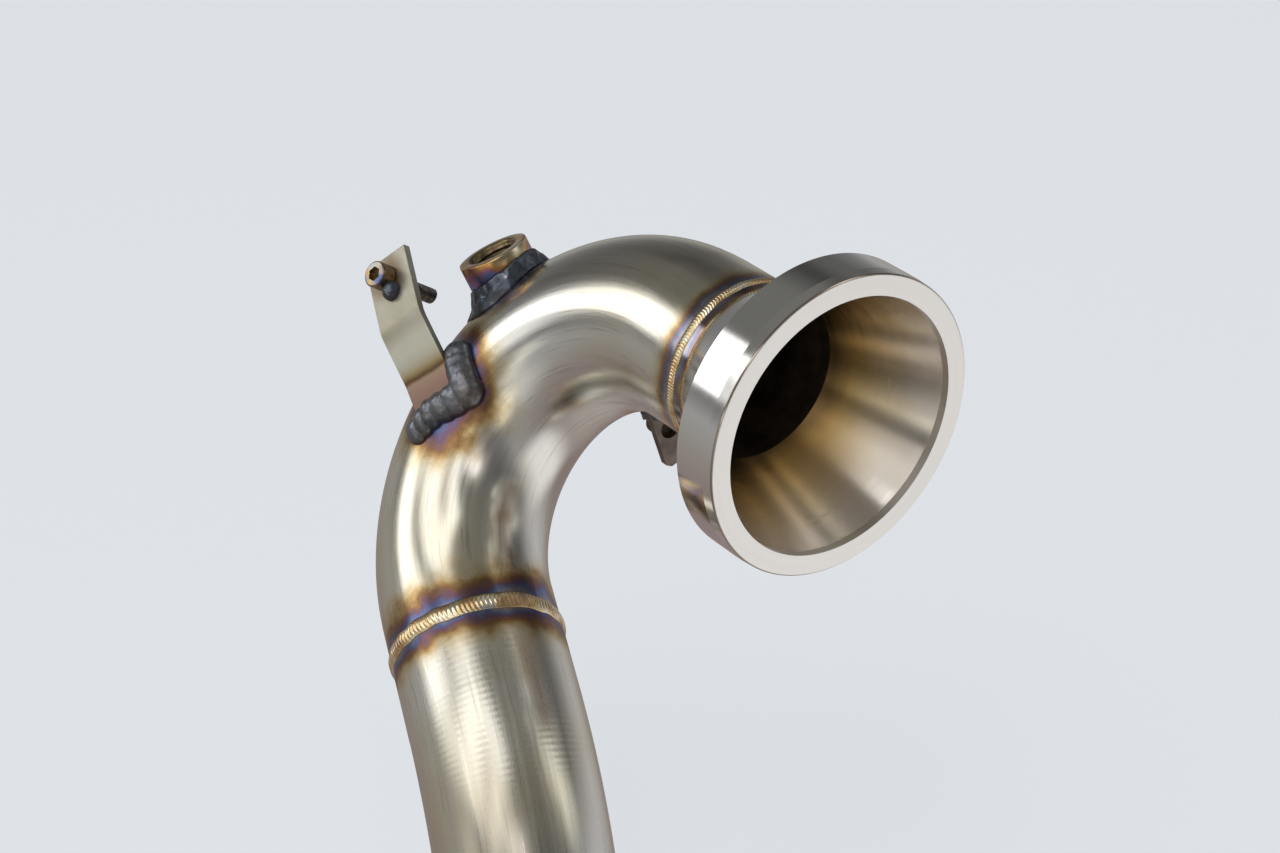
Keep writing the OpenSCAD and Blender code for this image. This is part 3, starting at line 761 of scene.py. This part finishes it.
rough_weld("boss_fillet", "boss_weld", slate_steel, 0.45 * MM, 8, 0.3 * MM, 0.6 * MM, 0.12 * MM, hollow)
rough_weld("strap_fillet", "strap_weld", pewter_steel, 0.5 * MM, 40, 1.7 * MM, 0.32 * MM, 0.12 * MM, swing)
rough_weld("screw_tack", "screw_tack_weld", slate_steel, 0.2 * MM, 6, 0.1 * MM, 0.7 * MM, 0.15 * MM)
rough_weld("rear_fillet", "rear_bracket_weld", slate_steel, 0.35 * MM, 6, 0.2 * MM, 0.5 * MM, 0.10 * MM)

# %% [markdown]
# ## Strap, bracket and screw
# The strap is a flat strip with two bends. Its mesh is a merged copy of its solid, with the edges broken by a
# fine bevel. It is pale where the polish is left and brown to rose where the weld heated its foot. The bracket
# and the nut behind it are painted dark, a painted shade for the flange's shadow they sit in, and keep their
# solids. The screw gets its real socket and thread.

# %% Strap steel
strap_steel, tree, sockets, at = metal("strap_steel", 0.4)
along = put(tree, "Mapping", {"Vector": at}, {"Rotation": (0.2, 0.35, 1.25)}, vector_type="TEXTURE")[0]
marks = place_group(tree, brush_group, {"Vector": along}, {"Stretch": (60.0, 2600.0, 2600.0)})
patches = put(tree, "TexNoise", {"Vector": at}, {"Scale": 45.0, "Detail": 2.0})[0]
khaki = blend_colour(tree, spread(tree, patches, 0.35, 0.7), (0.46, 0.45, 0.38), (0.38, 0.34, 0.25))
up_strap = vector_maths(tree, "DOT_PRODUCT", vector_maths(tree, "SUBTRACT", at, STRAP_FOOT), strap_run)
up_strap = maths(tree, "ADD", up_strap, maths(tree, "MULTIPLY", maths(tree, "SUBTRACT", patches, 0.5), 0.006))
scorch = ramp(tree, spread(tree, up_strap, -8 * MM, 18 * MM), [
    (0.00, (0.24, 0.17, 0.14)), (0.30, (0.36, 0.23, 0.19)), (0.48, (0.42, 0.30, 0.22)), (0.54, (0.16, 0.09, 0.05)),
    (0.62, (0.42, 0.32, 0.17)), (0.80, (0.52, 0.48, 0.37)), (1.00, (0.52, 0.50, 0.41))])[0]
khaki = blend_colour(tree, spread(tree, up_strap, 20 * MM, 28 * MM), (0.66, 0.65, 0.56), khaki)
colour = blend_colour(tree, spread(tree, up_strap, 8 * MM, 16 * MM, 1.0, 0.0), khaki, scorch)
screw_ring = axis_distance(tree, at, stud_end, stud_axis, 7.5 * MM)
colour = blend_colour(tree, spread(tree, screw_ring, -1.5 * MM, 3.5 * MM, 0.75, 0.0), colour, (0.22, 0.15, 0.09))
tree.links.new(colour, sockets["Base Color"])
tree.links.new(spread(tree, marks["Broad"], 0.2, 0.8, 0.38, 0.52), sockets["Roughness"])
bump(tree, sockets, marks["Fine"], 0.08, 0.0002)
bm = bmesh.new()
bm.from_mesh(nodes["hanger_strap"].data)
bmesh.ops.remove_doubles(bm, verts=bm.verts, dist=0.005 * MM)
bmesh.ops.dissolve_limit(bm, angle_limit=math.radians(1), verts=bm.verts, edges=bm.edges)
strap = piece_of("hanger_strap_sheet", bm, strap_steel, "hanger_strap")
strap.data.set_sharp_from_angle(angle=math.radians(30))
edges = strap.modifiers.new("edges", "BEVEL")
edges.width = 0.4 * MM
edges.segments = 2
edges.limit_method = "ANGLE"
edges.angle_limit = math.radians(40)
# The bracket and the nut behind it are painted near black as painted shade for the flange's shadow, mottled by a noise.
bracket_steel, tree, sockets, at = metal("bracket_steel", 0.42, 0.9)
dark_mottle = put(tree, "TexNoise", {"Vector": at}, {"Scale": 130.0, "Detail": 4.0})[0]
tree.links.new(ramp(tree, dark_mottle, [(0.3, (0.07, 0.055, 0.045)), (0.7, (0.19, 0.155, 0.13))])[0], sockets["Base Color"])
bump(tree, sockets, dark_mottle, 0.15, 0.0002)
dress("rear_bracket", bracket_steel)
dress("rear_nut", bracket_steel)

# %% Screw steel
screw_steel, tree, sockets, at = metal("screw_steel", 0.24)
tint = put(tree, "TexNoise", {"Vector": at}, {"Scale": 170.0, "Detail": 2.0})[0]
tree.links.new(ramp(tree, tint, [(0.34, (0.07, 0.09, 0.18)), (0.44, (0.22, 0.19, 0.20)), (0.54, (0.36, 0.23, 0.09)),
                                 (0.66, (0.36, 0.36, 0.35))])[0], sockets["Base Color"])
tree.links.new(spread(tree, tint, 0.3, 0.7, 0.18, 0.32), sockets["Roughness"])
stud_steel, tree, sockets, at = metal("stud_steel", 0.4, 0.95)
dark_grain = put(tree, "TexNoise", {"Vector": at}, {"Scale": 400.0, "Detail": 4.0})[0]
tree.links.new(ramp(tree, dark_grain, [(0.35, (0.11, 0.10, 0.10)), (0.65, (0.34, 0.32, 0.30))])[0], sockets["Base Color"])

# %% Strap screw
HEAD_R = 5 * MM
HEAD_H = 6 * MM
HEX_HALF = 2.5 * MM
HEX_DEEP = 3 * MM
THREAD_L = 20 * MM
CORE_R = 2.45 * MM
screw_frame = frame_of(stud_end - stud_axis * SCREW_L, -stud_axis, Vector((0, 0, 1)))
bm = bmesh.new()
bmesh.ops.create_circle(bm, cap_ends=True, segments=48, radius=HEAD_R, matrix=Matrix.Translation((0, 0, HEAD_H)))
side = bmesh.ops.extrude_edge_only(bm, edges=bm.edges[:])["geom"]
bmesh.ops.translate(bm, vec=(0, 0, -HEAD_H), verts=[v for v in side if isinstance(v, bmesh.types.BMVert)])
bmesh.ops.inset_region(bm, faces=[f for f in bm.faces if len(f.verts) == 48], thickness=1.9 * MM, depth=0)
socket_face = min((f for f in bm.faces if len(f.verts) == 48), key=lambda f: f.calc_area())
for vert in socket_face.verts:
    turn = math.atan2(vert.co.y, vert.co.x)
    reach = HEX_HALF / math.cos((turn + math.pi / 6) % (math.pi / 3) - math.pi / 6)
    vert.co.x, vert.co.y = reach * math.cos(turn), reach * math.sin(turn)
deep = bmesh.ops.extrude_face_region(bm, geom=[socket_face])["geom"]
bmesh.ops.translate(bm, vec=(0, 0, -HEX_DEEP), verts=[v for v in deep if isinstance(v, bmesh.types.BMVert)])
bmesh.ops.delete(bm, geom=[socket_face], context="FACES")
bottom = [e for e in bm.edges if e.is_boundary and all(v.co.z < HEAD_H / 4 for v in e.verts)]
bmesh.ops.holes_fill(bm, edges=bottom, sides=0)
rim = [e for e in bm.edges if all(abs(v.co.z - HEAD_H) < 1e-7 and v.co.xy.length > HEAD_R * 0.99 for v in e.verts)]
bmesh.ops.bevel(bm, geom=rim, offset=0.6 * MM, segments=4, profile=0.5, affect="EDGES", material=-1)
bmesh.ops.transform(bm, matrix=screw_frame, verts=bm.verts)
head = piece_of("screw_head", bm, screw_steel, "strap_screw", smooth=False)
bm = spin_profile([(0, -SCREW_L), (CORE_R - 0.5 * MM, -SCREW_L), (CORE_R, -SCREW_L + 0.7 * MM),
                   (CORE_R, -4.2 * MM), (2.675 * MM, -3.8 * MM), (2.675 * MM, 0.2 * MM), (0, 0.2 * MM)], screw_frame, 48)
piece_of("screw_shank", bm, stud_steel)
piece_of("screw_thread", helix(screw_frame, CORE_R, 0.52 * MM, 1 * MM, 20, -4.1 * MM, False, 32), stud_steel)

# %% [markdown]
# ## Studio
# Polished tube shows little but what surrounds it, so the room is the main thing here. The world is a dark
# back wall, a pale ground and a set of windows, each a soft-edged rectangle in the sky: a tall strip at the
# back left, a broad one overhead on the left, narrow ones for the streaks in the cone and weak ones at the
# right. A later window lies over an earlier one. Camera rays see one even pale grey. The floor is left out of
# reflections, which see the ground of the world instead, and keeps a soft shadow.

# %% Floor
BACK_GREY = (0.757, 0.789, 0.829)
FLOOR_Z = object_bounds()[0][2] - 0.2 * MM
bm = bmesh.new()
bmesh.ops.create_circle(bm, cap_ends=True, segments=64, radius=6, matrix=Matrix.Translation((0, 0, FLOOR_Z)))
mesh = bpy.data.meshes.new("floor")
bm.to_mesh(mesh)
bm.free()
floor = bpy.data.objects.new("floor", mesh)
bpy.context.scene.collection.objects.link(floor)
floor.visible_glossy = False
floor_paint = bpy.data.materials.new("floor_paint")
floor_paint.use_nodes = True
tree = floor_paint.node_tree
sockets = tree.nodes["Principled BSDF"].inputs
sockets["Roughness"].default_value = 0.8
sockets["Base Color"].default_value = (*BACK_GREY, 1)
glow = put(tree, "Emission", {}, {"Color": (*BACK_GREY, 1), "Strength": 1.0})[0]
path = put(tree, "LightPath")
seen = maths(tree, "MULTIPLY", path["Is Camera Ray"], 0.85)
mixed = put(tree, "MixShader", {0: seen, 1: tree.nodes["Principled BSDF"].outputs[0], 2: glow})[0]
tree.links.new(mixed, tree.nodes["Material Output"].inputs["Surface"])
mesh.materials.append(floor_paint)

# %% Group: a window in the sky
window_group, given, result = new_group(
    "sky_window", [("Vector", "Vector"), ("Centre", "Vector"), ("Across", "Vector"), ("Up", "Vector"),
                   ("Half Width", "Float"), ("Half Height", "Float"), ("Soft", "Float")], [("Mask", "Float")])
facing = vector_maths(window_group, "DOT_PRODUCT", given["Vector"], given["Centre"])
mask = spread(window_group, facing, 0.05, 0.15)
for way, half in (("Across", "Half Width"), ("Up", "Half Height")):
    off = maths(window_group, "DIVIDE", vector_maths(window_group, "DOT_PRODUCT", given["Vector"], given[way]), facing)
    inside = maths(window_group, "SUBTRACT", given[half], maths(window_group, "ABSOLUTE", off))
    edge = put(window_group, "Clamp", {"Value": maths(window_group, "DIVIDE", inside, given["Soft"])})[0]
    mask = maths(window_group, "MULTIPLY", mask, edge)
window_group.links.new(mask, result["Mask"])

# %% World
world = bpy.data.worlds.new("studio")
world.use_nodes = True
bpy.context.scene.world = world
tree = world.node_tree
background = tree.nodes["Background"]
path = put(tree, "LightPath")
heading = put(tree, "TexCoord")["Generated"]
up = put(tree, "SeparateXYZ", {"Vector": heading})
room = ramp(tree, spread(tree, up["Z"], -1.0, 1.0), [
    (0.00, (0.50, 0.46, 0.44)), (0.14, (0.28, 0.22, 0.21)), (0.30, (0.34, 0.31, 0.28)), (0.46, (0.40, 0.40, 0.39)),
    (0.54, (0.22, 0.22, 0.22)), (0.66, (0.12, 0.12, 0.12)), (1.00, (0.22, 0.22, 0.20))])[0]

# Centre, half width, half height, soft edge, colour
WINDOWS = [
    ((0.95, -0.15, -0.15), 0.9, 0.5, 0.5, (0.64, 0.64, 0.67)),
    ((0.40, -0.75, -0.55), 0.8, 0.6, 0.4, (1.04, 1.02, 1.00)),
    ((-0.95, -0.32, -0.10), 0.45, 0.35, 0.3, (0.70, 0.68, 0.64)),
    ((0.42, 0.70, 0.56), 0.30, 0.20, 0.2, (0.05, 0.05, 0.05)),
    ((-0.98, 0.08, 0.09), 0.30, 0.11, 0.08, (1.1, 1.07, 0.96)),
    ((-0.60, 0.70, 0.40), 0.17, 0.26, 0.03, (2.4, 2.4, 2.35)),
    ((-0.66, 0.00, 0.75), 0.45, 0.52, 0.08, (1.9, 1.9, 1.87)),
    ((-0.74, -0.13, 0.66), 0.14, 0.40, 0.10, (0.50, 0.42, 0.36)),
    ((-0.81, 0.47, 0.35), 0.15, 0.19, 0.08, (1.5, 1.5, 1.45)),
    ((-0.86, -0.50, 0.05), 0.28, 0.09, 0.06, (2.2, 2.1, 1.8)),
    ((-0.55, -0.62, 0.56), 0.24, 0.13, 0.08, (2.2, 2.1, 2.1)),
    ((0.62, -0.56, 0.55), 0.24, 0.42, 0.2, (1.35, 1.35, 1.25)),
    ((0.66, 0.11, 0.74), 0.07, 0.25, 0.04, (2.4, 2.4, 2.2)),
]
for centre, half_width, half_height, soft, colour in WINDOWS:
    sky = frame_of(Vector(), Vector(centre), Vector((0, 0, 1))).to_3x3()
    mask = place_group(tree, window_group, {"Vector": heading},
                       {"Centre": sky.col[2], "Across": sky.col[1], "Up": sky.col[0], "Half Width": half_width,
                        "Half Height": half_height, "Soft": soft})["Mask"]
    room = blend_colour(tree, mask, room, colour)
seen = blend_colour(tree, path["Is Camera Ray"], room, BACK_GREY)
tree.links.new(seen, background.inputs["Color"])
background.inputs["Strength"].default_value = 1.0

# %% Lamp
MIDDLE = Vector((-0.03, 0.06, -0.08))
lamp_data = bpy.data.lights.new("overhead_box", "AREA")
lamp_data.shape = "RECTANGLE"
lamp_data.size = 0.9
lamp_data.size_y = 0.9
lamp_data.energy = 8
lamp = bpy.data.objects.new("overhead_box", lamp_data)
lamp.location = (-0.5, -0.1, 1.2)
lamp.rotation_euler = (MIDDLE - lamp.location).to_track_quat("-Z", "Y").to_euler()
lamp.visible_glossy = False
bpy.context.scene.collection.objects.link(lamp)
